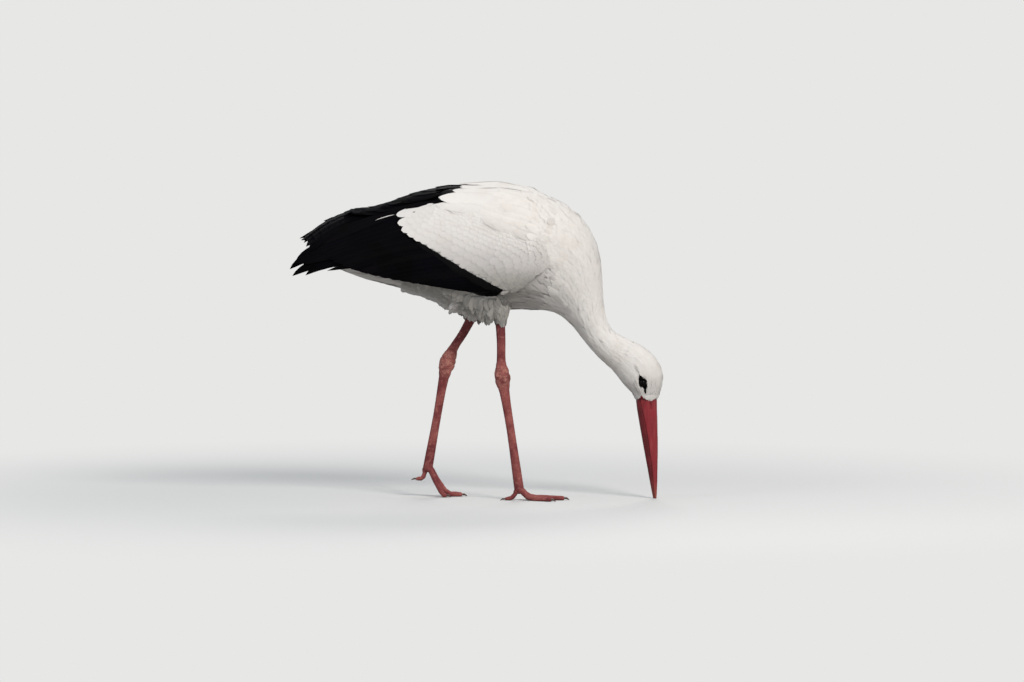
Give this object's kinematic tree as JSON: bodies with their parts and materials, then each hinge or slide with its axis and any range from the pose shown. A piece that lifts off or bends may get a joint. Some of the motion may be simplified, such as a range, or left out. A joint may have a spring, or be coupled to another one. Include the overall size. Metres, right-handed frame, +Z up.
{
  "type": "white stork",
  "caption": "Life-size white stork model with black flight feathers, red bill and legs, striding with its neck curved down and the bill tip on the ground",
  "frame": {"origin": "the middle of the bird's footprint, on the floor", "axes": "+X is ahead of the bird, +Y is its left side, +Z is up"},
  "size_m": [0.6954, 0.196, 0.5877],
  "materials": {
    "plumage_white": "soft warm-white contour feathers, matt, faintly grey on the coverts and under the tail",
    "plumage_black": "black flight feathers with a faint blue-violet sheen",
    "bill_red": "smooth red horn of the bill, darker on the lower half",
    "leg_red": "salmon-red scaly skin with pale bloom",
    "claw_horn": "dark brown horn",
    "eye_dark": "wet, nearly black eye"
  },
  "bodies": {
    "root": {"trunk": "plumage_white", "neck_lower": "plumage_white", "neck_middle": "plumage_white", "neck_upper": "plumage_white", "eye_right": "eye_dark", "eye_left": "eye_dark", "head": "plumage_white", "bill_upper": "bill_red", "bill_lower": "bill_red", "tail": "plumage_white", "wing_right_coverts": "plumage_white", "wing_right_secondaries": "plumage_black", "wing_right_primaries": "plumage_black", "wing_left_coverts": "plumage_white", "wing_left_secondaries": "plumage_black", "wing_left_primaries": "plumage_black", "thigh_right": "plumage_white", "shin_right": "leg_red", "hock_right": "leg_red", "shank_right": "leg_red", "toe_right_middle": "leg_red", "claw_right_middle": "claw_horn", "toe_right_inner": "leg_red", "claw_right_inner": "claw_horn", "toe_right_outer": "leg_red", "claw_right_outer": "claw_horn", "toe_right_hind": "leg_red", "claw_right_hind": "claw_horn", "thigh_left": "plumage_white", "shin_left": "leg_red", "hock_left": "leg_red", "shank_left": "leg_red", "toe_left_middle": "leg_red", "claw_left_middle": "claw_horn", "toe_left_inner": "leg_red", "claw_left_inner": "claw_horn", "toe_left_outer": "leg_red", "claw_left_outer": "claw_horn", "toe_left_hind": "leg_red", "claw_left_hind": "claw_horn"}
  },
  "joints": []
}
